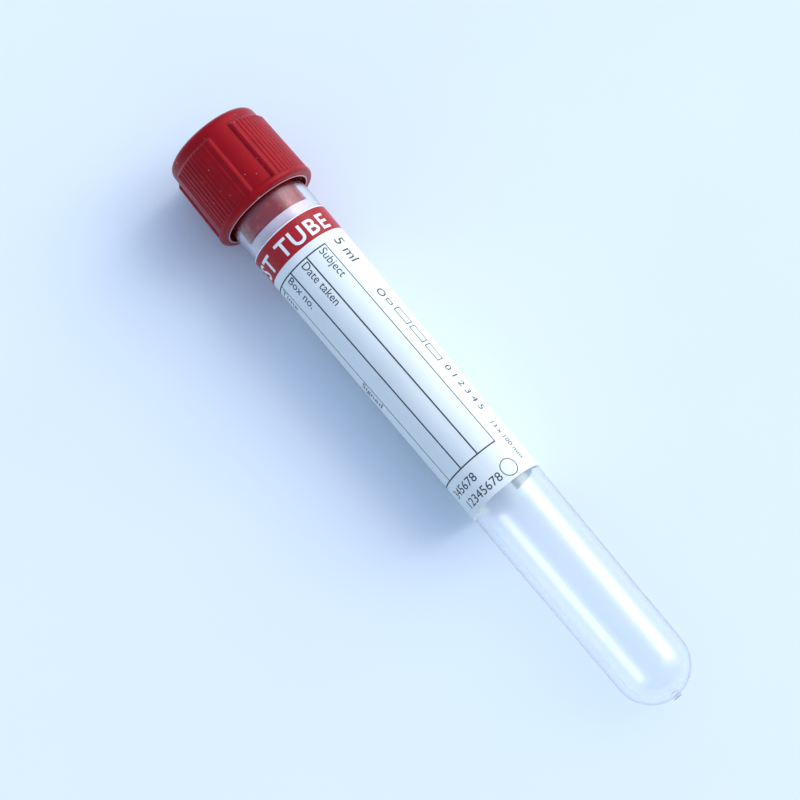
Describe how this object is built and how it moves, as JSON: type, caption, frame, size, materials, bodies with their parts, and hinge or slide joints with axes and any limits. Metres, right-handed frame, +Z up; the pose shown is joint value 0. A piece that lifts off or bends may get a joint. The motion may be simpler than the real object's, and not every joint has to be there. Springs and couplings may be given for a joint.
{
  "type": "blood collection tube",
  "caption": "Clear plastic blood collection tube with a round bottom, a paper label, a rubber stopper and a ribbed red twist-off cap, lying on its side.",
  "frame": {"origin": "centre of the base of the object's box, on the floor that the lying tube rests on", "axes": "+X along the tube's length, from the cap to the round end; +Y across it; +Z up. The tube's axis leans 1.8 degrees down towards +X, because it rests on the cap's rim and on the round end"},
  "size_m": [0.1074, 0.017, 0.017],
  "materials": {
    "clear_plastic": "gloss",
    "label_paper": "satin",
    "stopper_rubber": "satin",
    "cap_plastic": "satin",
    "ring_plastic": "satin"
  },
  "bodies": {
    "tube": {"tube": "clear_plastic", "label": "label_paper"},
    "stopper": {"stopper": "stopper_rubber"},
    "cap": {"cap_shell": "cap_plastic", "cap_ring": "ring_plastic"}
  },
  "joints": [
    {"name": "cap_lift", "type": "slide", "parent": "tube", "child": "stopper", "axis": [-0.9995, 0, 0.0317], "range_m": [0, 0.02]},
    {"name": "cap_twist", "type": "hinge", "parent": "stopper", "child": "cap", "pos_m": [-0.04655, 0, 0.0087], "axis": [-0.9995, 0, 0.0317], "range_deg": [0, 600.1]}
  ],
  "couplings": [
    {"joint": "cap_twist", "follows": "cap_lift", "rad_per_m": 523.6}
  ]
}
